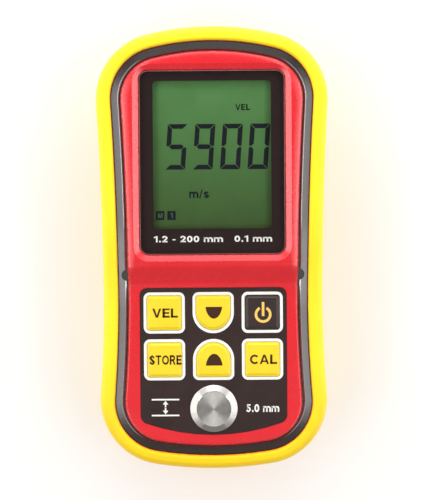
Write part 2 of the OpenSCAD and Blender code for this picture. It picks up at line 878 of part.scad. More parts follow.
module case_screws() {
    color(nickel) at_bosses() difference() {
        union() {
            rod([0, 0], screw_head, screw_seat - screw_head_height, screw_seat);
            rod([0, 0], screw_radius, screw_seat - 0.5, screw_seat + screw_length);
        }
        for (t = [0, 90]) rotate(t)
            plate(2.8, 0.7, screw_seat - screw_head_height - over, screw_seat - 0.9);
    }
}

// Battery door, hinged on two pins at its upper edge

module battery_door() {
    gap = 0.25;
    x = rabbet_x - gap;
    foot = box_foot - 1.4 + gap;
    slit = 0.8;
    tongue_x = 8;
    tongue_length = 9;
    color(case_red) difference() {
        union() {
            translate([-x, foot, case_back]) cube([2 * x, hinge_y - foot, door_thickness]);
            translate([0, hinge_y, hinge_z]) rotate([0, 90, 0]) {
                cylinder(r = hinge_radius, h = 2 * x, center = true);
                cylinder(r = hinge_pin, h = 2 * (rabbet_x + pin_length - fit), center = true);
            }
            for (k = [0 : 2]) translate([-tongue_x + 1.5, foot + 2 + 2 * k, case_back - 0.5])
                cube([2 * tongue_x - 3, 0.8, 1]);
        }
        for (s = [-1, 1]) translate([s * tongue_x - slit / 2, foot - over, case_back - over])
            cube([slit, tongue_length + over, door_thickness + 2 * over]);
    }
}

// Cells and contacts

// A cell with its positive end at the head for s = 1, at the foot for s = -1
module cell(x, s) {
    y = s > 0 ? box_head - plate_thickness : box_foot + plate_thickness;
    body = cell_length - nub_height;
    color("#4c5a66") translate([x, y, cell_z]) rotate([s * 90, 0, 0]) rotate_extrude()
        polygon([[0, 0], [nub_radius, 0], [nub_radius, nub_height], [cell_radius, nub_height],
            [cell_radius, nub_height + body], [0, nub_height + body]]);
}

module battery_1() {
    cell(-cell_pitch, 1);
}

module battery_2() {
    cell(0, -1);
}

module battery_3() {
    cell(cell_pitch, 1);
}

// Tapered coil standing on Z
module coil(length) {
    wire = 0.35;
    turns = 4;
    sides = 6;
    steps = 40;
    points = [for (k = [0 : steps])
        let (t = k / steps, a = 360 * turns * t, r = mix(3.4, 2.4, t), z = mix(wire, length - wire, t))
        each [for (j = [0 : sides - 1])
            let (b = 360 * j / sides, q = r + wire * cos(b))
            [q * cos(a), q * sin(a), z + wire * sin(b)]]];
    walls = [for (k = [0 : steps - 1], j = [0 : sides - 1])
        let (n = (j + 1) % sides, p = k * sides, q = p + sides)
        each [[p + j, q + n, q + j], [p + j, p + n, q + n]]];
    polyhedron(points = points, faces = concat(walls,
        [[for (j = [sides - 1 : -1 : 0]) j]],
        [[for (j = [0 : sides - 1]) steps * sides + j]]));
}

module battery_springs() {
    color(nickel) {
        for (x = [-cell_pitch, cell_pitch]) translate([x, box_foot + plate_thickness, cell_z])
            rotate([-90, 0, 0]) coil(spring_length);
        translate([0, box_head - plate_thickness, cell_z]) rotate([90, 0, 0]) coil(spring_length);
    }
}

module contact_plate(x, width, y) {
    height = cell_diameter - 1.5;
    translate([x - width / 2, y, cell_z - height / 2]) cube([width, plate_thickness, height]);
}

module battery_plates() {
    width = cell_diameter - 1.5;
    head = box_head - plate_thickness;
    color(nickel) {
        contact_plate(-cell_pitch, width, head);
        contact_plate(cell_pitch / 2, width + cell_pitch, head);
        contact_plate(-cell_pitch / 2, width + cell_pitch, box_foot);
        contact_plate(cell_pitch, width, box_foot);
        contact_tab(-cell_pitch, head);
        contact_tab(cell_pitch, box_foot);
    }
}

// Strip from an end contact up to the board
module contact_tab(x, y) {
    translate([x - tab_width / 2, y, cell_z]) cube([tab_width, plate_thickness, board_back - cell_z]);
}

// Sockets

module probe_socket() {
    bore_foot = socket_rim - socket_depth;
    rotate_extrude() polygon([[socket_thread / 2, -barrel_length], [socket_thread / 2, 0],
        [socket_flange / 2, 0], [socket_flange / 2, socket_rim], [socket_bore / 2, socket_rim],
        [socket_bore / 2, bore_foot], [insulator_radius, bore_foot], [insulator_radius, -barrel_length]]);
}

module probe_socket_left() {
    color(nickel) at_socket(-socket_spacing / 2) probe_socket();
}

module probe_socket_right() {
    color(nickel) at_socket(socket_spacing / 2) probe_socket();
}

module socket_insulators() {
    top = socket_rim - socket_depth - 0.3;
    low = -barrel_length - 0.4;
    color("#f0efe8") at_sockets() difference() {
        rod([0, 0], insulator_radius - 0.02, low, top);
        rod([0, 0], contact_radius + 0.02, low - over, top + over);
    }
}

module socket_contacts() {
    top = socket_rim - socket_depth - 0.4;
    color("#c8a84a") at_sockets() rod([0, 0], contact_radius, top - contact_length, top);
}

module socket_washers() {
    color(nickel) at_sockets() difference() {
        rod([0, 0], nut_flats / 2, -socket_wall - washer_thickness, -socket_wall);
        rod([0, 0], socket_thread / 2 + 0.05, -socket_wall - over, 0);
    }
}

module socket_nuts() {
    top = -socket_wall - washer_thickness;
    color(nickel) at_sockets() difference() {
        translate([0, 0, top - nut_thickness])
            cylinder(r = nut_flats / 2 / cos(30), h = nut_thickness, $fn = 6);
        rod([0, 0], socket_thread / 2 + 0.05, top - nut_thickness - over, 0);
    }
}

module socket_leads() {
    color("#2a2a2c") for (s = [-1, 1]) translate([s * socket_spacing / 2, lead_start, socket_z]) {
        translate([0, -lead_bend, 0]) rotate([-90, 0, 0]) cylinder(r = lead_radius, h = lead_bend);
        translate([0, -lead_bend, lead_bend]) rotate([0, 90, 0]) rotate([0, 0, 270])
            rotate_extrude(angle = 90) translate([lead_bend, 0]) circle(lead_radius);
        translate([0, -2 * lead_bend, lead_bend])
            cylinder(r = lead_radius, h = board_back - socket_z - lead_bend);
    }
}

protective_boot();
front_case();
front_trim();
display_lens();
lens_mask();
lcd_glass();
lcd_backlight();
lcd_contact_strips();
lcd_frame();
keypad_overlay();
key_borders();
key_velocity();
key_down();
key_power();
key_store();
key_up();
key_calibrate();
plunger_velocity();
plunger_down();
plunger_power();
plunger_store();
plunger_up();
plunger_calibrate();
switch_bodies();
test_block();
main_board();
board_chips();
board_capacitors();
board_screws();
rear_case();
battery_door();
battery_1();
battery_2();
battery_3();
battery_springs();
battery_plates();
probe_socket_left();
probe_socket_right();
socket_insulators();
socket_contacts();
socket_washers();
socket_nuts();
socket_leads();
case_screws();
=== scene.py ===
"""Looks of a handheld ultrasonic thickness gauge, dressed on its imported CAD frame."""
import math

import bmesh
import bpy
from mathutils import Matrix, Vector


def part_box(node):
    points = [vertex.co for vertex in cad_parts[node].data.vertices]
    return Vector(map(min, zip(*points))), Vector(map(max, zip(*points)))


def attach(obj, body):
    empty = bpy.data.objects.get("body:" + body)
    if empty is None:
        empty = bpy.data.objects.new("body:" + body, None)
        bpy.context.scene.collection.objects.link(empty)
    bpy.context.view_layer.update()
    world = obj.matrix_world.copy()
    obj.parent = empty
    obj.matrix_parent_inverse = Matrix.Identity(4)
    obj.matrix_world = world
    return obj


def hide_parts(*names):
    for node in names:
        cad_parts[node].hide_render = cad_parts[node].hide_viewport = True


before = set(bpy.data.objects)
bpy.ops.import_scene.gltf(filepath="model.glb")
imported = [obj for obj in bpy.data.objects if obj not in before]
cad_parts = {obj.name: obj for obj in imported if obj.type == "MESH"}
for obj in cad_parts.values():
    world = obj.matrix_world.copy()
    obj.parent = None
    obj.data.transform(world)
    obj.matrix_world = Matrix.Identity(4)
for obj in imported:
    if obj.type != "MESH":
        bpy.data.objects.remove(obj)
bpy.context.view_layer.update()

SCENE = bpy.context.scene
MM = 0.001


def box(node):
    """Lowest and highest corner of a CAD node, in millimetres."""
    return [[c / MM for c in corner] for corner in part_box(node)]


def middle(node):
    low, high = box(node)
    return [(a + b) / 2 for a, b in zip(low, high)]


# Sizes in millimetres. Those of the outline and the mouldings are as in the part's source,
# the rest come from the frame.
HEAD_X, HEAD_R, HEAD_CROWN = 38.2, 22.0, 2.0
FOOT_X, FOOT_R, FOOT_CROWN = 37.7, 21.7, 1.3
WAIST_X, WAIST_Y = 36.3, -14.0
HOOD_RISE, RIM_Z = 3.5, 25.0
END_Y = box("protective_boot")[1][1]
LIP_Z = box("protective_boot")[1][2] - HOOD_RISE
LENS_LOW, LENS_HIGH = box("display_lens")
LENS_BEVEL = 1.9
LCD_TOP = box("lcd_glass")[1][2]
PANEL_Z = box("keypad_overlay")[1][2]
# The rim's slope, from beside the display to beside the keys
RIM_RUN_HEAD, RIM_RUN_FOOT = 15.4, 7.6
RIM_TOP = LENS_LOW[1] - LENS_BEVEL + RIM_RUN_HEAD
RIM_FOOT = box("keypad_overlay")[1][1] - RIM_RUN_FOOT
# Thickness of a printed layer
PRINT = 0.03


# Shapes

def mix(a, b, t):
    return a + (b - a) * t


def shares(steps):
    """Even shares from 0 up to the last one before 1."""
    return [k / steps for k in range(steps)]


def turns(start, end, steps):
    """Even angles from start to end, in degrees."""
    return [mix(start, end, k / steps) for k in range(steps + 1)]


def arc(start, end, steps):
    """Even angles between two given in degrees, in radians."""
    return [math.radians(a) for a in turns(start, end, steps)]


def polar(centre, radius, degrees):
    a = math.radians(degrees)
    return centre[0] + radius * math.cos(a), centre[1] + radius * math.sin(a)


def degrees_of(y, x):
    return math.degrees(math.atan2(y, x))


def bow_radius(centre, radius, crown):
    """Radius of the bow that joins two corner circles and stands that far above them."""
    return (centre[0] ** 2 + (radius + crown) ** 2 - radius ** 2) / (2 * crown)


def flank_radius(centre, radius):
    """Radius of the hollow flank that meets a corner circle and is upright at the waist."""
    a, b = WAIST_X - centre[0], WAIST_Y - centre[1]
    return (a * a + b * b - radius * radius) / (2 * (radius - a))


HEAD_C = (HEAD_X - HEAD_R, END_Y - HEAD_CROWN - HEAD_R)
FOOT_C = (FOOT_X - FOOT_R, FOOT_CROWN + FOOT_R - END_Y)
HEAD_BOW = bow_radius(HEAD_C, HEAD_R, HEAD_CROWN)
FOOT_BOW = bow_radius(FOOT_C, FOOT_R, FOOT_CROWN)
HEAD_FLANK = flank_radius(HEAD_C, HEAD_R)
FOOT_FLANK = flank_radius(FOOT_C, FOOT_R)
HEAD_FROM = degrees_of(HEAD_C[1] - END_Y + HEAD_BOW, HEAD_C[0])
HEAD_TO = degrees_of(WAIST_Y - HEAD_C[1], WAIST_X + HEAD_FLANK - HEAD_C[0])
FOOT_FROM = degrees_of(WAIST_Y - FOOT_C[1], WAIST_X + FOOT_FLANK - FOOT_C[0])
FOOT_TO = degrees_of(FOOT_C[1] + END_Y - FOOT_BOW, FOOT_C[0])
BOW_STEPS, CORNER_STEPS, HOOD_STEPS, SLOPE_STEPS, FOOT_STEPS = 14, 28, 12, 20, 10


def flank_point(y, d):
    r = HEAD_FLANK if y > WAIST_Y else FOOT_FLANK
    return WAIST_X + r - math.sqrt((r + d) ** 2 - (y - WAIST_Y) ** 2), y


def outline(d):
    """Closed outline inset by d, from the middle of the head round the right side and back."""
    head_end = HEAD_C[1] + (HEAD_R - d) * math.sin(math.radians(HEAD_TO))
    foot_end = FOOT_C[1] + (FOOT_R - d) * math.sin(math.radians(FOOT_FROM))
    head_bow, foot_bow = (0, END_Y - HEAD_BOW), (0, FOOT_BOW - END_Y)
    half = [polar(head_bow, HEAD_BOW - d, mix(90, HEAD_FROM, t)) for t in shares(BOW_STEPS)]
    half += [polar(HEAD_C, HEAD_R - d, mix(HEAD_FROM, HEAD_TO, t)) for t in shares(CORNER_STEPS)]
    half += [flank_point(mix(head_end, RIM_TOP, t), d) for t in shares(HOOD_STEPS)]
    half += [flank_point(mix(RIM_TOP, RIM_FOOT, t), d) for t in shares(SLOPE_STEPS)]
    half += [flank_point(mix(RIM_FOOT, foot_end, t), d) for t in shares(FOOT_STEPS)]
    half += [polar(FOOT_C, FOOT_R - d, mix(FOOT_FROM, FOOT_TO, t)) for t in shares(CORNER_STEPS)]
    half += [polar(foot_bow, FOOT_BOW - d, a) for a in turns(FOOT_TO, -90, BOW_STEPS)]
    return half + [(-x, y) for x, y in reversed(half[1:-1])]


def lift(y):
    """1 beside the display hood, 0 beside the keypad, eased over the long slope between them."""
    t = min(max((RIM_TOP - y) / (RIM_TOP - RIM_FOOT), 0), 1)
    return 1 - t * t * (3 - 2 * t)


def moulding(section):
    """Skin of a section carried round the outline; its points are inset, height, share of the rise."""
    rings = [[(x, y, z + share * HOOD_RISE * lift(y)) for x, y in outline(d)]
             for d, z, share in section]
    return loft(rings, closed=True)


def loft(rings, closed=False):
    """Vertices and faces of a skin through rings of equal length, capped unless it closes on itself."""
    n, last = len(rings[0]), len(rings) - 1
    faces = []
    for i in range(len(rings) if closed else last):
        a, b = i * n, (i + 1) % len(rings) * n
        faces += [(a + k, a + (k + 1) % n, b + (k + 1) % n, b + k) for k in range(n)]
    if not closed:
        faces += [tuple(reversed(range(n))), tuple(range(last * n, last * n + n))]
    return [p for ring in rings for p in ring], faces


def join(*parts):
    """Several shells as one list of vertices and faces."""
    verts, faces = [], []
    for v, f in parts:
        faces += [tuple(i + len(verts) for i in face) for face in f]
        verts += v
    return verts, faces


def prism(points, low, high):
    return loft([[(x, y, z) for x, y in points] for z in (low, high)])


def revolve(profile, x, y, steps):
    return loft([[(*polar((x, y), r, 360 * t), z) for t in shares(steps)] for r, z in profile])


def rounded_box(w, h, r, cx=0, cy=0, steps=10):
    x, y = w / 2 - r, h / 2 - r
    corners = ((x, y, 0), (-x, y, 90), (-x, -y, 180), (x, -y, 270))
    return [polar((cx + px, cy + py), r, a) for px, py, start in corners
            for a in turns(start, start + 90, steps)]


def smooth_path(points, steps):
    """Points on a curve through the given ones."""
    ends = [points[0], *points, points[-1]]
    path = []
    for p, q, r, s in zip(ends, ends[1:], ends[2:], ends[3:]):
        for t in shares(steps):
            path.append(tuple(
                0.5 * (2 * b + (c - a) * t + (2 * a - 5 * b + 4 * c - d) * t ** 2
                       + (3 * b - a - 3 * c + d) * t ** 3) for a, b, c, d in zip(p, q, r, s)))
    return path + [points[-1]]


# Bold letters and figures, each as its width and its outlines in units of the capital height

STEM, BEAM, LETTER_GAP, SMALL = 0.25, 0.21, 0.12, 0.74


def bar(x0, y0, x1, y1):
    return [(x0, y0), (x1, y0), (x1, y1), (x0, y1)]


def line(path, weight=BEAM):
    """Outline of a stroke of even weight along a path."""
    left, right = [], []
    for k, (x, y) in enumerate(path):
        a, b = path[max(k - 1, 0)], path[min(k + 1, len(path) - 1)]
        reach = weight / 2 / math.dist(a, b)
        left.append((x - reach * (b[1] - a[1]), y + reach * (b[0] - a[0])))
        right.append((x + reach * (b[1] - a[1]), y - reach * (b[0] - a[0])))
    return left + right[::-1]


def curve(*points):
    return line(smooth_path(points, 8))


def sweep(cx, cy, rx, ry, start, end):
    return [(cx + rx * math.cos(a), cy + ry * math.sin(a)) for a in arc(start, end, 24)]


def snake(width, height, weight=BEAM):
    """An S."""
    bends = ((0.86, 0.72), (0.52, 0.91), (0.14, 0.72), (0.5, 0.505), (0.87, 0.27), (0.5, 0.09),
             (0.11, 0.28))
    return line(smooth_path([(width * x, height * y) for x, y in bends], 8), weight)


def arch(x):
    """One hump of an m, its foot included."""
    return line(sweep(x, SMALL - 0.3, 0.225, 0.21, 170, 0) + [(x + 0.225, 0)])


GLYPHS = {
    " ": (0.3, []),
    ".": (0.26, [bar(0.04, 0, 0.24, STEM)]),
    "-": (0.42, [bar(0.03, 0.32, 0.4, 0.49)]),
    "/": (0.4, [line([(0.06, 0), (0.34, 1)], 0.13)]),
    "0": (0.68, [line(sweep(0.34, 0.5, 0.235, 0.4, 0, 360))]),
    "1": (0.48, [bar(0.26, 0, 0.46, 1), [(0.3, 1), (0.02, 0.84), (0.02, 0.66), (0.3, 0.8)]]),
    "2": (0.68, [bar(0.02, 0, 0.67, BEAM),
                 curve((0.1, 0.68), (0.18, 0.86), (0.37, 0.915), (0.57, 0.72), (0.42, 0.42),
                       (0.12, 0.1))]),
    "5": (0.68, [bar(0.13, 0.83, 0.63, 1), bar(0.13, 0.46, 0.29, 0.9),
                 curve((0.16, 0.52), (0.37, 0.59), (0.57, 0.34), (0.35, 0.09), (0.08, 0.26))]),
    "A": (1.0, [[(0, 0), (0.39, 1), (0.61, 1), (1, 0), (0.78, 0), (0.5, 0.76), (0.22, 0)],
                [(0.25, 0.21), (0.75, 0.21), (0.69, 0.37), (0.31, 0.37)]]),
    "C": (0.92, [line(sweep(0.5, 0.5, 0.39, 0.4, 42, 318))]),
    "E": (0.76, [bar(0, 0, STEM, 1), bar(0, 0, 0.76, BEAM), bar(0, 0.425, 0.7, 0.595),
                 bar(0, 0.83, 0.76, 1)]),
    "L": (0.74, [bar(0, 0, STEM, 1), bar(0, 0, 0.74, BEAM)]),
    "M": (1.0, [bar(0, 0, STEM, 1), bar(0.8, 0, 1, 1),
                [(0.1, 1), (0.28, 1), (0.5, 0.36), (0.72, 1), (0.9, 1), (0.58, 0), (0.42, 0)]]),
    "O": (1.0, [line(sweep(0.5, 0.5, 0.4, 0.4, 0, 360))]),
    "R": (0.88, [bar(0, 0, STEM, 1),
                 line([(0.1, 0.915), *sweep(0.47, 0.7, 0.22, 0.215, 90, -90), (0.1, 0.485)]),
                 [(0.36, 0.48), (0.58, 0.46), (0.88, 0), (0.64, 0)]]),
    "S": (0.82, [snake(0.82, 1)]),
    "T": (0.84, [bar(0.32, 0, 0.52, 1), bar(0, 0.83, 0.84, 1)]),
    "V": (0.94, [[(0, 1), (0.22, 1), (0.47, 0.26), (0.72, 1), (0.94, 1), (0.58, 0), (0.36, 0)]]),
    "m": (1.08, [bar(0, 0, 0.18, SMALL), arch(0.315), arch(0.765)]),
    "s": (0.66, [snake(0.66, SMALL, 0.17)]),
}


# Materials

def colour(*levels):
    """An sRGB colour of 0 to 255 in linear light, opaque."""
    parts = [c / 255 for c in levels]
    return (*(c / 12.92 if c < 0.04045 else ((c + 0.055) / 1.055) ** 2.4 for c in parts), 1)


class Nodes:
    """A node tree with short ways to add nodes and links."""

    def __init__(self, tree):
        self.tree = tree

    def node(self, kind, **inputs):
        made = self.tree.nodes.new(kind)
        for socket, value in inputs.items():
            made.inputs[socket.replace("_", " ")].default_value = value
        return made

    def link(self, source, target):
        self.tree.links.new(source, target)

    def feed(self, value, socket):
        """Gives a socket its constant or the output that drives it."""
        if isinstance(value, bpy.types.NodeSocket):
            self.link(value, socket)
        else:
            socket.default_value = value

    def maths(self, operation, one, two):
        made = self.node("ShaderNodeMath")
        made.operation = operation
        self.feed(one, made.inputs[0])
        self.feed(two, made.inputs[1])
        return made.outputs["Value"]

    def spread(self, source, low, high, start=0.3, end=0.7, ease="LINEAR"):
        """Maps start to end of a value onto low to high."""
        made = self.node("ShaderNodeMapRange", From_Min=start, From_Max=end, To_Min=low, To_Max=high)
        made.interpolation_type = ease
        self.link(source, made.inputs["Value"])
        return made.outputs["Result"]

    def axes(self, vector):
        split = self.node("ShaderNodeSeparateXYZ")
        self.link(vector, split.inputs["Vector"])
        return split.outputs


class Finish(Nodes):
    """A node material: close colours mottled together, uneven gloss and a fine grain."""

    def __init__(self, name, **sockets):
        self.material = bpy.data.materials.new(name)
        self.material.use_nodes = True
        super().__init__(self.material.node_tree)
        self.shader = self.tree.nodes["Principled BSDF"]
        self.output = self.tree.nodes["Material Output"]
        self.place = self.node("ShaderNodeTexCoord").outputs["Object"]
        for socket, value in sockets.items():
            self.shader.inputs[socket.replace("_", " ")].default_value = value

    def noise(self, size, detail=3.0):
        """Noise with features of about that many millimetres."""
        made = self.node("ShaderNodeTexNoise", Scale=1 / (size * MM), Detail=detail)
        self.link(self.place, made.inputs["Vector"])
        return made.outputs["Fac"]

    def blend(self, factor, one, two):
        """A colour between two. A mix node has its colours at sockets 6 and 7 and at output 2."""
        made = self.node("ShaderNodeMix")
        made.data_type = "RGBA"
        self.link(factor, made.inputs[0])
        self.feed(one, made.inputs[6])
        self.feed(two, made.inputs[7])
        return made.outputs[2]

    def along(self, axis, start, end):
        """0 to 1 between two places along an axis, in millimetres."""
        return self.spread(self.axes(self.place)[axis], 0, 1, start * MM, end * MM)

    def base(self, paint):
        self.link(paint, self.shader.inputs["Base Color"])
        return self

    def mottle(self, one, two, size):
        return self.base(self.blend(self.spread(self.noise(size), 0, 1), one, two))

    def gloss(self, low, high, size):
        self.link(self.spread(self.noise(size), low, high), self.shader.inputs["Roughness"])
        return self

    def grain(self, size, depth, detail=3.0):
        """Bump of that many millimetres."""
        bump = self.node("ShaderNodeBump", Strength=1.0, Distance=depth * MM)
        self.link(self.noise(size, detail), bump.inputs["Height"])
        self.link(bump.outputs["Normal"], self.shader.inputs["Normal"])
        return self

    def surface(self, factor, one, two):
        """Makes the surface a mix of two shaders."""
        both = self.node("ShaderNodeMixShader")
        self.link(factor, both.inputs["Fac"])
        self.link(one, both.inputs[1])
        self.link(two, both.inputs[2])
        self.link(both.outputs["Shader"], self.output.inputs["Surface"])


GLOSS_SPREAD = 0.012


def plain(name, one, two, rough, patch=6.0, grain=0.25, depth=0.004, **sockets):
    made = Finish(name, **sockets).mottle(colour(*one), colour(*two), patch)
    made.gloss(rough - GLOSS_SPREAD, rough + GLOSS_SPREAD, patch / 3)
    return made.grain(grain, depth).material


def metal(name, one, two, rough):
    return plain(name, one, two, rough, patch=2.0, grain=0.12, depth=0.0015, Metallic=1.0)


def display_green():
    """Reflective display, a little cloudy, with painted light: brighter towards the head and darker
    towards the foot.
    """
    made = Finish("lcd_green")
    # Painted light and shade: the green runs from dark at the display's foot to bright at its head.
    painted_headward_light = made.blend(made.along("Y", 5, 54), colour(45, 71, 18), colour(82, 137, 74))
    made.base(made.blend(made.spread(made.noise(9.0), 0, 0.35), painted_headward_light, colour(61, 103, 34)))
    return made.gloss(0.45, 0.55, 4.0).grain(0.4, 0.002).material


def clear_lens():
    """Clear moulded window: light passes straight through, and the surface mirrors at a slant."""
    made = Finish("lens_clear")
    made.tree.nodes.remove(made.shader)
    clear = made.node("ShaderNodeBsdfTransparent", Color=(0.99, 0.995, 0.99, 1))
    mirror = made.node("ShaderNodeBsdfGlossy")
    made.link(made.spread(made.noise(3.0), 0.02, 0.06), mirror.inputs["Roughness"])
    slant = made.maths("POWER", made.node("ShaderNodeLayerWeight").outputs["Facing"], 5.0)
    made.surface(made.spread(slant, 0.02, 0.95, 0, 1), clear.outputs["BSDF"], mirror.outputs["BSDF"])
    return made.material


def turned_steel():
    """Lathe-turned face: its gloss is drawn out across the turning marks."""
    made = Finish("block_face", Metallic=1.0, Anisotropic=0.8)
    made.mottle(colour(196, 192, 187), colour(210, 206, 201), 1.5).gloss(0.44, 0.5, 1.0)
    tangent = made.node("ShaderNodeTangent")
    tangent.direction_type, tangent.axis = "RADIAL", "Z"
    made.link(tangent.outputs["Tangent"], made.shader.inputs["Tangent"])
    return made.grain(0.15, 0.0004).material


def boot_rubber():
    """Yellow rubber, with painted shade: darker and more orange towards the foot."""
    made = Finish("boot_rubber", Specular_IOR_Level=0.35)
    # Painted shade: the yellow turns darker and more orange over the last stretch towards the foot.
    painted_foot_shade = made.blend(made.along("Y", -70, -35), colour(253, 207, 17), colour(255, 236, 38))
    made.base(made.blend(made.spread(made.noise(12.0), 0, 0.3), painted_foot_shade, colour(253, 226, 30)))
    return made.gloss(0.5, 0.62, 3.0).grain(0.35, 0.012, 4.0).material


FINISHES = {
    "boot_rubber": boot_rubber(),
    "case_red": plain("case_red", (231, 37, 47), (226, 33, 43), 0.27, patch=9.0, grain=0.5,
                      depth=0.0006, Specular_IOR_Level=0.9),
    "trim_dark": plain("trim_dark", (50, 38, 34), (45, 34, 31), 0.16, grain=0.5, depth=0.0005,
                       IOR=2.0, Specular_IOR_Level=1.0),
    "lens_clear": clear_lens(),
    # Painted glint: an opaque light grey for the lens's cut edge, standing in for light caught in clear
    # glass.
    "lens_edge_painted_glint": plain("lens_edge_painted_glint", (150, 120, 118), (132, 104, 102), 0.25, patch=9.0),
    "mask_black": plain("mask_black", (42, 27, 26), (37, 24, 23), 0.45, Specular_IOR_Level=0.2),
    "lcd_green": display_green(),
    "lcd_ink": plain("lcd_ink", (14, 16, 26), (18, 20, 30), 0.5, patch=1.0, Specular_IOR_Level=0.2),
    "lcd_faint": plain("lcd_faint", (70, 98, 62), (64, 90, 58), 0.45, patch=1.0),
    "backlight_white": plain("backlight_white", (232, 236, 226), (222, 227, 216), 0.5),
    "strip_rubber": plain("strip_rubber", (94, 94, 102), (82, 82, 90), 0.7),
    "frame_plastic": plain("frame_plastic", (226, 224, 214), (216, 214, 203), 0.45),
    "overlay_black": plain("overlay_black", (55, 40, 38), (49, 35, 34), 0.45, Specular_IOR_Level=0.3),
    "print_white": plain("print_white", (250, 249, 244), (242, 241, 236), 0.45, patch=2.0),
    "print_brown": plain("print_brown", (66, 28, 6), (58, 25, 6), 0.45, patch=1.0),
    "print_amber": plain("print_amber", (255, 206, 110), (250, 198, 98), 0.45, patch=1.0),
    "key_yellow": plain("key_yellow", (252, 221, 46), (249, 215, 40), 0.4, grain=0.3),
    "key_black": plain("key_black", (58, 44, 42), (51, 39, 38), 0.38, grain=0.3),
    "chip_black": plain("chip_black", (44, 44, 47), (36, 36, 39), 0.5, patch=1.5),
    "block_steel": metal("block_steel", (236, 232, 226), (228, 224, 218), 0.16),
    "block_face": turned_steel(),
    "board_green": plain("board_green", (28, 88, 56), (34, 98, 62), 0.35, patch=1.2),
    "capacitor_sleeve": plain("capacitor_sleeve", (54, 68, 118), (48, 60, 106), 0.35, patch=1.5),
    "nickel": metal("nickel", (208, 203, 192), (196, 190, 178), 0.24),
    "contact_brass": metal("contact_brass", (206, 172, 84), (192, 158, 72), 0.28),
    "insulator_white": plain("insulator_white", (240, 239, 232), (232, 231, 223), 0.45, patch=1.0),
    "cell_sleeve": plain("cell_sleeve", (78, 92, 104), (70, 83, 95), 0.3, patch=5.0),
    "lead_sleeve": plain("lead_sleeve", (44, 44, 46), (38, 38, 40), 0.5, patch=1.0),
}


# Pieces

# Faces that meet at a wider angle keep a sharp edge, in degrees
SHARP = 35


def solid(name, shape):
    """A new object from a shape in millimetres."""
    verts, faces = shape
    mesh = bpy.data.meshes.new(name)
    mesh.from_pydata([(x * MM, y * MM, z * MM) for x, y, z in verts], [], faces)
    obj = bpy.data.objects.new(name, mesh)
    SCENE.collection.objects.link(obj)
    return obj


def smooth(mesh):
    mesh.polygons.foreach_set("use_smooth", [True] * len(mesh.polygons))


def shade(mesh, sharp):
    smooth(mesh)
    mesh.set_sharp_from_angle(angle=math.radians(sharp))


def piece(name, shape, body, slot, finish=None, sharp=SHARP, replaces=()):
    """An object that rides on a CAD body."""
    obj = solid(name, shape)
    work = bmesh.new()
    work.from_mesh(obj.data)
    bmesh.ops.recalc_face_normals(work, faces=work.faces)
    work.to_mesh(obj.data)
    work.free()
    obj.data.materials.append(FINISHES[finish or slot])
    shade(obj.data, sharp)
    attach(obj, body)
    if replaces:
        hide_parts(*replaces)
    return obj


def carve(obj, shape):
    """Cuts a closed shape out of a piece."""
    cutter = solid("cutter", shape)
    cut = obj.modifiers.new("cut", "BOOLEAN")
    cut.operation, cut.object, cut.solver = "DIFFERENCE", cutter, "EXACT"
    bpy.context.view_layer.update()
    done = bpy.data.meshes.new_from_object(obj.evaluated_get(bpy.context.evaluated_depsgraph_get()))
    obj.modifiers.remove(cut)
    obj.data = done
    bpy.data.objects.remove(cutter)
    shade(done, SHARP)


def refinish(obj, finish, chosen):
    """Gives the chosen faces of a piece a second finish."""
    obj.data.materials.append(FINISHES[finish])
    for face in obj.data.polygons:
        if chosen(face):
            face.material_index = 1


def plates(name, shapes, low, body, slot, finish=None):
    """Thin flat shapes, as printed or etched."""
    return piece(name, join(*(prism(s, low, low + PRINT) for s in shapes)), body, slot, finish)


def lettering(name, words, centre, size, low, body, slot, finish=None):
    """Thin letters that fill a box of that width and height about a centre."""
    shapes, x = [], 0
    for letter in words:
        width, loops = GLYPHS[letter]
        shapes += [[(x + px, py) for px, py in loop] for loop in loops]
        x += width + LETTER_GAP
    xs, ys = zip(*(p for shape in shapes for p in shape))
    wide, high = size[0] / (max(xs) - min(xs)), size[1] / (max(ys) - min(ys))
    left, foot = centre[0] - size[0] / 2, centre[1] - size[1] / 2
    fitted = [[(left + wide * (px - min(xs)), foot + high * (py - min(ys))) for px, py in shape]
              for shape in shapes]
    return plates(name, fitted, low, body, slot, finish)


# Boot

# Thickness of its wall and back lip, and how far its lips reach in
BOOT_WALL, BOOT_BACK, BOOT_REACH, BOOT_BACK_REACH = 2.5, 2.2, 5.3, 12.0
# Edge of the back lip, and points on its flat
BACK_EDGE, BACK_FLAT = 0.5, (9.0, 7.0)
# Round between back and side, then the upright stretch of the side
SIDE_ROUND, SIDE_LOW, SIDE_HIGH = 5.0, 8.0, 17.0
# Share of the hood's rise where the upright stretch ends
SIDE_SHARE = 0.5
# Round of the shoulder, end of the front lip's flat, and the lip's inner round
SHOULDER, LIP_FLAT, LIP_ROUND = 3.2, 3.7, 1.0
# Underside of the front lip, and the rounds of the hollow for the case
LIP_UNDER, HOLLOW_TOP_R, HOLLOW_BACK_R = RIM_Z + 0.1, 1.1, 4.1
# Slot for the plugs: middle of each end, radius, and how much wider it is along Y
SOCKET_X, SOCKET_Z, WINDOW_R = 9.0, 9.2, 5.4
WINDOW_FLARE = ((66.0, 0), (71.2, 0), (71.8, 0.12), (72.3, 0.45), (72.8, 1.0), (74.0, 2.4))


def quarter(steps, start=0, end=90):
    """1 less the sine and 1 less the cosine, at even steps of a quarter turn."""
    return [(1 - math.sin(a), 1 - math.cos(a)) for a in arc(start, end, steps)]


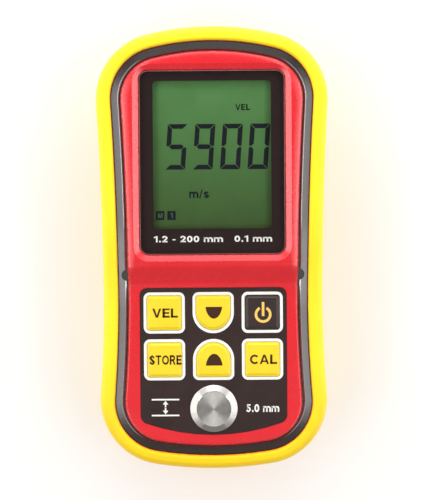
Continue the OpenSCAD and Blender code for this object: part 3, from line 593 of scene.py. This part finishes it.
def boot_section():
    """From the back lip out and up the side, over the front lip and back down the hollow."""
    section = [(BOOT_BACK_REACH, BOOT_BACK, 0)]
    section += [(BOOT_BACK_REACH - BACK_EDGE * c, BACK_EDGE * s, 0) for s, c in quarter(4)]
    section += [(d, 0, 0) for d in BACK_FLAT]
    section += [(SIDE_ROUND * s, SIDE_LOW * c, 0) for s, c in quarter(12)]
    section += [(0, mix(SIDE_LOW, SIDE_HIGH, t), SIDE_SHARE * t) for t in shares(4)[1:]]
    section += [(SHOULDER * c, mix(LIP_Z, SIDE_HIGH, s), mix(1, SIDE_SHARE, s)) for s, c in quarter(18)]
    section += [(LIP_FLAT, LIP_Z, 1)]
    section += [(BOOT_REACH - LIP_ROUND * s, LIP_Z - LIP_ROUND * c, 1) for s, c in quarter(8)]
    section += [(BOOT_REACH, LIP_UNDER, 1)]
    section += [(BOOT_WALL + HOLLOW_TOP_R * s, LIP_UNDER - HOLLOW_TOP_R * c, 1) for s, c in quarter(3)]
    section += [(BOOT_WALL + HOLLOW_BACK_R * s, BOOT_BACK + HOLLOW_BACK_R * c, 0)
                for s, c in quarter(4, 90, 0)]
    return section


def plug_window():
    """Slot for the plugs, flared where it leaves the boot."""
    rings = []
    for y, grow in WINDOW_FLARE:
        r = WINDOW_R + grow
        ring = [polar((SOCKET_X, SOCKET_Z), r, a) for a in turns(-90, 90, 20)]
        ring += [polar((-SOCKET_X, SOCKET_Z), r, a) for a in turns(90, 270, 20)]
        rings.append([(x, y, z) for x, z in ring])
    verts, faces = loft(rings)
    return verts, [tuple(reversed(f)) for f in faces]


boot = piece("boot_sleeve", moulding(boot_section()), "gauge", "boot_rubber",
             replaces=("protective_boot",))
carve(boot, plug_window())


# Trim band

# Insets of its outer and inner edge
TRIM_OUT, TRIM_IN = 5.33, 8.7
# Points over its width, as the share of the way in from the boot and the height over the rim
TRIM_OUTER = [(0, -0.9), (0, -0.8), (0.095, -0.8), (0.1, 0.04)]
TRIM_TOP = [(0.11, 0.105), (0.22, 0.012), (0.44, -0.176), (0.6, -0.313), (0.68, -0.383), (0.72, -0.437),
            (0.76, -0.502), (0.8, -0.567), (0.845, -0.64), (0.86, -0.76)]
TRIM_INNER = [(0.88, -0.85), (1, -0.85), (1, -0.9)]
# Notch: place, radius, distance of its middle from the inner edge, and its floor and top over the rim
NOTCH_Y, NOTCH_R, NOTCH_IN, NOTCH_HEIGHTS = -8.3, 1.9, 0.3, (-0.78, 2.0)


def trim_section():
    """A narrow gap beside the boot, an even fall inwards, a steeper edge and a low ledge."""
    path = TRIM_OUTER + smooth_path(TRIM_TOP, 4) + TRIM_INNER
    return [(mix(TRIM_OUT, TRIM_IN, share), RIM_Z + z, 1) for share, z in path]


def trim_notch(side):
    """Half-round dip in the band's inner edge, beside the step."""
    centre = side * flank_point(NOTCH_Y, TRIM_IN - NOTCH_IN)[0], NOTCH_Y
    circle = [polar(centre, NOTCH_R, 360 * t) for t in shares(36)]
    return loft([[(x, y, RIM_Z + HOOD_RISE * lift(y) + z) for x, y in circle] for z in NOTCH_HEIGHTS])


trim = piece("trim_band", moulding(trim_section()), "gauge", "trim_dark", replaces=("front_trim",))
carve(trim, join(trim_notch(1), trim_notch(-1)))


# Display

LENS_R, LENS_EDGE, LENS_DRAFT = 3.1, 0.25, 0.2
DIGIT_W, DIGIT_H, DIGIT_PITCH, STROKE, GAP, SLANT = 6.55, 14.8, 8.96, 1.52, 0.14, 0.072
READING_X, READING_Y = -15.4, 26.0
DIGITS = {"5": "afgcd", "9": "abcdfg", "0": "abcdef"}
# Words on the display with the middle and size of each
LCD_WORDS = {"lcd_quantity": ("VEL", (10.1, 46.2), (4.9, 1.95)),
             "lcd_unit": ("m/s", (-4.3, 18.1), (6.5, 2.9))}
# Dark boxes with a letter in each: their place along Y, size, round and letter height, then the place
# along X of each and its letter's width
MEMORY_Y, MEMORY_W, MEMORY_H, MEMORY_R, MEMORY_LETTER = 11.06, 2.75, 2.92, 0.15, 1.7
MEMORY = {"M": (-17.05, 1.5), "1": (-13.37, 0.8)}
RANGE_PLACE, RANGE_SIZE = (0.1, 3.45), (38.4, 2.1)


def lens_ring(inset, z):
    width, height = (LENS_HIGH[k] - LENS_LOW[k] - 2 * inset for k in (0, 1))
    ring = rounded_box(width, height, LENS_R - inset, 0, middle("display_lens")[1])
    return [(x, y, z) for x, y in ring]


def lens_window():
    """Clear window, just off the print on its mask, with its cut edge painted an opaque light grey as a
    painted glint.
    """
    foot, top = LENS_LOW[2] + 2 * PRINT, LENS_HIGH[2]
    rings = [lens_ring(0, foot), lens_ring(LENS_DRAFT, top - LENS_EDGE),
             lens_ring(LENS_DRAFT + LENS_EDGE, top)]
    made = piece("lens_window", loft(rings), "gauge", "lens_clear", replaces=("display_lens",))
    # Painted glint on the lens's cut edge
    refinish(made, "lens_edge_painted_glint",
             lambda face: face.center.z > (top - LENS_EDGE) * MM and face.normal.z < 0.95)


def segments(lit, x0, y0):
    """Lit bars of a seven-bar figure whose lower left corner is at x0, y0, leaning right."""
    w, h, t, g = DIGIT_W, DIGIT_H, STROKE, GAP
    m = h / 2
    bars = {
        "a": [(g, h), (w - g, h), (w - t - g, h - t), (t + g, h - t)],
        "d": [(g, 0), (t + g, t), (w - t - g, t), (w - g, 0)],
        "f": [(0, h - g), (t, h - t - g), (t, m + t / 2 + g), (t / 2, m + g), (0, m + g * 2)],
        "e": [(0, g), (0, m - g * 2), (t / 2, m - g), (t, m - t / 2 - g), (t, t + g)],
        "b": [(w, h - g), (w, m + g * 2), (w - t / 2, m + g), (w - t, m + t / 2 + g),
              (w - t, h - t - g)],
        "c": [(w, g), (w - t, t + g), (w - t, m - t / 2 - g), (w - t / 2, m - g), (w, m - g * 2)],
        "g": [(t / 2 + g, m), (t + g, m + t / 2), (w - t - g, m + t / 2), (w - t / 2 - g, m),
              (w - t - g, m - t / 2), (t + g, m - t / 2)],
    }
    return [[(x0 + x + SLANT * y, y0 + y) for x, y in bars[k]] for k in lit]


lens_window()
reading = []
for place, digit in enumerate("5900"):
    reading += segments(DIGITS[digit], READING_X + DIGIT_PITCH * place, READING_Y)
plates("lcd_reading", reading, LCD_TOP, "gauge", "lcd_green", "lcd_ink")
for name, (words, centre, size) in LCD_WORDS.items():
    lettering(name, words, centre, size, LCD_TOP, "gauge", "lcd_green", "lcd_ink")
plates("lcd_memory", [rounded_box(MEMORY_W, MEMORY_H, MEMORY_R, x, MEMORY_Y) for x, _ in MEMORY.values()],
       LCD_TOP, "gauge", "lcd_green", "lcd_ink")
for mark, (x, width) in MEMORY.items():
    lettering("lcd_memory_" + mark, mark, (x, MEMORY_Y), (width, MEMORY_LETTER), LCD_TOP + PRINT, "gauge",
              "lcd_green", "lcd_faint")
lettering("lens_range", "1.2 - 200 mm   0.1 mm", RANGE_PLACE, RANGE_SIZE, LENS_LOW[2], "gauge",
          "print_white")


# Keypad

KEY_HALF = box("key_borders")[1][0] - middle("key_power")[0]
STEM_Z, KEY_TOP = box("key_power")[0][2], box("key_power")[1][2]
KEY_R, KEY_MIN_R, KEY_BORDER, KEY_FLANGE = 2.0, 0.5, 1.05, 0.8
FLANGE_Z, FLANGE_T, STEM_R, STEM_SINK = 25.15, 0.45, 1.8, 0.1
# Round at the top of a key's side, then the pad's pillow: its rise, its start inwards and its width
SKIRT_ROUND, PILLOW_RISE, PILLOW_START, PILLOW_RUN = 0.1, 0.42, 0.35, 0.75
KEYS = {"velocity": "square", "down": "down", "power": "square", "store": "square", "up": "up",
        "calibrate": "square"}
LEGENDS = {"velocity": ("VEL", (8.3, 3.0)), "store": ("STORE", (10.5, 3.15)),
           "calibrate": ("CAL", (8.8, 3.1))}
# How far right of its key's middle each kind of legend is printed
WORD_SHIFT, ARROW_SHIFT, POWER_SHIFT = 0.3, 0.2, 0.25
ARROW_HALF, ARROW_H, ARROW_BLUNT = 2.7, 3.85, 1.25
# Power sign: the ring's radii, half its gap in degrees and its drop, then the bar's size and rise
RING_IN, RING_OUT, RING_GAP, RING_DROP = 1.9, 2.75, 28, 0.65
POWER_BAR_W, POWER_BAR_H, POWER_BAR_RISE = 0.85, 4.6, 1.1
INK_R = 0.1


def key_outline(kind, inset):
    h = KEY_HALF - inset
    r = max(KEY_R - inset, KEY_MIN_R)
    if kind == "square":
        return rounded_box(2 * h, 2 * h, r)
    sign = 1 if kind == "down" else -1
    points = [polar((h - r, h - r), r, a) for a in turns(0, 90, 10)]
    points += [polar((r - h, h - r), r, a) for a in turns(90, 180, 10)]
    points += [polar((0, 0), h, a) for a in turns(180, 360, 22)]
    return [(x, sign * y) for x, y in points]


def key_cap(kind, x, y):
    """Flange, pillow-shaped pad and stem of one key."""
    def ring(inset, z):
        return [(x + px, y + py, z) for px, py in key_outline(kind, inset)]
    flange_top, skirt = FLANGE_Z + FLANGE_T, KEY_TOP - PILLOW_RISE
    rings = [ring(KEY_BORDER - KEY_FLANGE, FLANGE_Z), ring(KEY_BORDER - KEY_FLANGE, flange_top),
             ring(KEY_BORDER, flange_top), ring(KEY_BORDER, skirt - SKIRT_ROUND),
             ring(KEY_BORDER + 0.3 * SKIRT_ROUND, skirt - 0.3 * SKIRT_ROUND),
             ring(KEY_BORDER + SKIRT_ROUND, skirt)]
    for t in shares(10)[1:] + [1]:
        rise = PILLOW_RISE * t * t * (3 - 2 * t)
        rings.append(ring(KEY_BORDER + PILLOW_START + PILLOW_RUN * t, skirt + rise))
    stem = revolve([(STEM_R, STEM_Z), (STEM_R, FLANGE_Z + STEM_SINK)], x, y, 32)
    return join(loft(rings), stem)


def arrow_sign(kind, x, y):
    """Flat on one side, rounded to a blunt point on the other."""
    sign = 1 if kind == "down" else -1
    edge = [(ARROW_HALF * math.cos(a), -ARROW_H * abs(math.sin(a)) ** ARROW_BLUNT)
            for a in arc(0, 180, 32)]
    return [[(x + px, y + sign * (py + ARROW_H / 2)) for px, py in edge]]


def power_sign(x, y):
    """A ring open at the top, with a bar in its gap."""
    start, end = 90 + RING_GAP, 450 - RING_GAP
    ring = [polar((x, y - RING_DROP), RING_OUT, a) for a in turns(start, end, 40)]
    ring += [polar((x, y - RING_DROP), RING_IN, a) for a in turns(end, start, 40)]
    return [ring, rounded_box(POWER_BAR_W, POWER_BAR_H, INK_R, x, y + POWER_BAR_RISE)]


for key, kind in KEYS.items():
    kx, ky, _ = middle("key_" + key)
    rides, slot = key + "_key", "key_black" if key == "power" else "key_yellow"
    piece("cap_" + key, key_cap(kind, kx, ky), rides, slot, replaces=("key_" + key,))
    legend = "legend_" + key
    if key in LEGENDS:
        words, size = LEGENDS[key]
        lettering(legend, words, (kx + WORD_SHIFT, ky), size, KEY_TOP, rides, slot, "print_brown")
    elif key == "power":
        plates(legend, power_sign(kx + POWER_SHIFT, ky), KEY_TOP, rides, slot, "print_amber")
    else:
        plates(legend, arrow_sign(kind, kx + ARROW_SHIFT, ky), KEY_TOP, rides, slot, "print_brown")


# Test block and the print beside it

BLOCK_R = (box("test_block")[1][0] - box("test_block")[0][0]) / 2
BLOCK_FOOT, BLOCK_TOP = box("test_block")[0][2], box("test_block")[1][2]
BLOCK_Y, BLOCK_BEVEL, BLOCK_RISE = middle("test_block")[1], 2.1, 1.2
# Broken edges of the block: at its foot, and the width and height of those at each end of the bevel
FOOT_EDGE, BEVEL_EDGE, FACE_EDGE = 0.1, (0.05, 0.08), (0.06, 0.03)
# Radius of the smallest ring about the axis
AXIS_R = 0.01
HEIGHT_X, HEIGHT_SIZE = 15.95, (10.8, 2.6)
SIGN_X, SIGN_RISE, SIGN_W, SIGN_LINE, SIGN_HALF = -15.8, 0.4, 9.0, 0.5, 2.6
SIGN_ARROW = ((0, 2.2), (0.9, 1.0), (0.25, 1.0), (0.25, 0.1), (-0.25, 0.1), (-0.25, 1.0), (-0.9, 1.0))


def thickness_sign(x, y):
    """Two faces and the arrows that measure between them."""
    shapes = [rounded_box(SIGN_W, SIGN_LINE, INK_R, x, y + s * SIGN_HALF) for s in (-1, 1)]
    return shapes + [[(x + px, y + s * py) for px, py in SIGN_ARROW] for s in (-1, 1)]


def block_profile():
    """From the foot up the side, in along the bevel and over the face."""
    r, face, shoulder = BLOCK_R, BLOCK_R - BLOCK_BEVEL, BLOCK_TOP - BLOCK_RISE
    profile = [(AXIS_R, BLOCK_FOOT), (r - FOOT_EDGE, BLOCK_FOOT), (r, BLOCK_FOOT + FOOT_EDGE),
               (r, shoulder - BEVEL_EDGE[1])]
    low, high = (r - BEVEL_EDGE[0], shoulder), (face + FACE_EDGE[0], BLOCK_TOP - FACE_EDGE[1])
    profile += [(mix(low[0], high[0], t), mix(low[1], high[1], t)) for t in shares(6) + [1]]
    return profile + [(mix(face, AXIS_R, t), BLOCK_TOP) for t in shares(10) + [1]]


lettering("panel_block_height", "5.0 mm", (HEIGHT_X, BLOCK_Y), HEIGHT_SIZE, PANEL_Z, "gauge",
          "print_white")
plates("panel_thickness_sign", thickness_sign(SIGN_X, BLOCK_Y + SIGN_RISE), PANEL_Z, "gauge",
       "print_white")
block = piece("calibration_block", revolve(block_profile(), 0, BLOCK_Y, 96), "gauge", "block_steel",
              sharp=20, replaces=("test_block",))
refinish(block, "block_face", lambda face: face.center.z > (BLOCK_TOP - FACE_EDGE[1] / 3) * MM)


# CAD pieces that stay: finished materials, and smooth shading over the facets of some

# Faces that meet at a wider angle keep a sharp edge, in degrees
SOFTENED = {"front_case": 19, "rear_case": 38, "battery_door": 30, "battery_springs": 40}
WELD_REACH = 0.002 * MM

for node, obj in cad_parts.items():
    slots = [m.name for m in obj.data.materials]
    obj.data.materials.clear()
    for slot in slots:
        obj.data.materials.append(FINISHES[slot.split(".")[0]])
    if node in SOFTENED:
        obj.data.attributes.remove(obj.data.attributes["custom_normal"])
        smooth(obj.data)
        obj.modifiers.new("weld", "WELD").merge_threshold = WELD_REACH
        obj.modifiers.new("edges", "EDGE_SPLIT").split_angle = math.radians(SOFTENED[node])
        obj.modifiers.new("normals", "WEIGHTED_NORMAL").keep_sharp = True


# Floor, light and camera

FLOOR_HALF, FLOOR_Z = 900.0, -0.2
# Half axes of the oval of painted warm bounce light and shade round the gauge, and radius beyond which the
# floor only glows
BOUNCE_SHADE_X, BOUNCE_SHADE_Y, GLOW_REACH = 69, 111, 300
# Share of the floor's brightness that is its own near the gauge, and the nearness where that starts
GLOW_SHARE, GLOW_START = 0.45, 0.6


def floor():
    """White table with painted warm bounce light and shade round the gauge; part of its brightness is its
    own in the camera's eyes, and all of it far off.
    """
    made = Finish("floor", Roughness=0.6)

    def nearness(x_reach, y_reach):
        """1 under the middle of the gauge, falling to 0 along an oval with those half axes."""
        oval = made.node("ShaderNodeMapping", Scale=(1 / (x_reach * MM), 1 / (y_reach * MM), 0))
        made.link(made.place, oval.inputs["Vector"])
        fall = made.node("ShaderNodeTexGradient")
        fall.gradient_type = "SPHERICAL"
        made.link(oval.outputs["Vector"], fall.inputs["Vector"])
        return fall.outputs["Fac"]

    # Painted bounce light and shade: the floor turns peach and a little darker near the gauge.
    painted_bounce_shade = made.blend(nearness(BOUNCE_SHADE_X, BOUNCE_SHADE_Y), colour(255, 254, 253), colour(255, 229, 222))
    mottled = made.blend(made.spread(made.noise(40.0), 0, 0.04), painted_bounce_shade, colour(244, 238, 234))
    made.base(mottled).grain(2.0, 0.02)
    glow = made.node("ShaderNodeEmission", Strength=1.0)
    made.link(mottled, glow.inputs["Color"])
    seen = made.node("ShaderNodeLightPath")
    rays = seen.outputs["Is Camera Ray"]
    for other in ("Is Glossy Ray", "Is Transmission Ray"):
        rays = made.maths("MAXIMUM", rays, seen.outputs[other])
    share = made.spread(nearness(GLOW_REACH, GLOW_REACH), 1.0, GLOW_SHARE, 0, GLOW_START)
    made.surface(made.maths("MULTIPLY", rays, share), made.shader.outputs["BSDF"],
                 glow.outputs["Emission"])
    corners = [(x, y, FLOOR_Z) for x, y in bar(-FLOOR_HALF, -FLOOR_HALF, FLOOR_HALF, FLOOR_HALF)]
    obj = solid("floor", (corners, [(0, 1, 2, 3)]))
    obj.data.materials.append(made.material)


def sky():
    """A dim room, brighter low down at the sides and the head, dark towards the foot."""
    world = bpy.data.worlds.new("room")
    world.use_nodes = True
    SCENE.world = world
    room = Nodes(world.node_tree)
    way = room.axes(room.node("ShaderNodeTexCoord").outputs["Generated"])
    low_down = room.spread(way["Z"], 0.0, 1.2, 0.72, 0.5, "SMOOTHSTEP")
    headward = room.spread(way["Y"], 0.12, 1.0, -0.75, -0.2, "SMOOTHSTEP")
    light = room.tree.nodes["Background"]
    room.link(room.maths("ADD", room.maths("MULTIPLY", low_down, headward), 0.1), light.inputs["Strength"])
    light.inputs["Color"].default_value = (1, 0.985, 0.97, 1)


def lamp(name, azimuth, tilt, distance, width, height, radiance, headward=0.0):
    """A soft panel facing the object, in metres, turned from +X by azimuth and from the zenith by tilt,
    then moved headward along Y."""
    light = bpy.data.lights.new(name, "AREA")
    light.shape, light.size, light.size_y = "RECTANGLE", width, height
    light.energy = radiance * math.pi * width * height
    obj = bpy.data.objects.new(name, light)
    SCENE.collection.objects.link(obj)
    a, t = math.radians(azimuth), math.radians(tilt)
    reach = distance * math.sin(t)
    obj.location = (reach * math.cos(a), reach * math.sin(a) + headward, distance * math.cos(t))
    obj.rotation_euler = (0, t, a)


floor()
sky()
for side, turn, corner in (("left", 180, 230), ("right", 0, 310)):
    lamp(side + "_panel", turn, tilt=35, distance=0.7, width=0.36, height=0.72, radiance=1.3,
         headward=-0.09)
    lamp(side + "_strip", turn, tilt=43, distance=0.65, width=0.08, height=0.7, radiance=4.1,
         headward=-0.08)
    lamp(side + "_foot_panel", corner, tilt=55, distance=0.6, width=0.3, height=0.3, radiance=0.3)
lamp("head_panel", 90, tilt=60, distance=0.34, width=0.2, height=0.5, radiance=2.3)
lamp("foot_panel", 270, tilt=25, distance=0.6, width=0.26, height=0.6, radiance=0.19)

# Fitted to the photograph, which is cropped off centre
camera = bpy.data.cameras.new("camera")
camera.sensor_width = 24
camera.lens = 62.525
camera.shift_x = 0.01357
camera.shift_y = -0.08692
viewer = bpy.data.objects.new("camera", camera)
viewer.location = (0, 0.025, 0.45)
viewer.rotation_euler = (math.radians(-1.5), 0, math.radians(-0.42))
SCENE.collection.objects.link(viewer)
SCENE.camera = viewer
SCENE.view_settings.view_transform = "Standard"
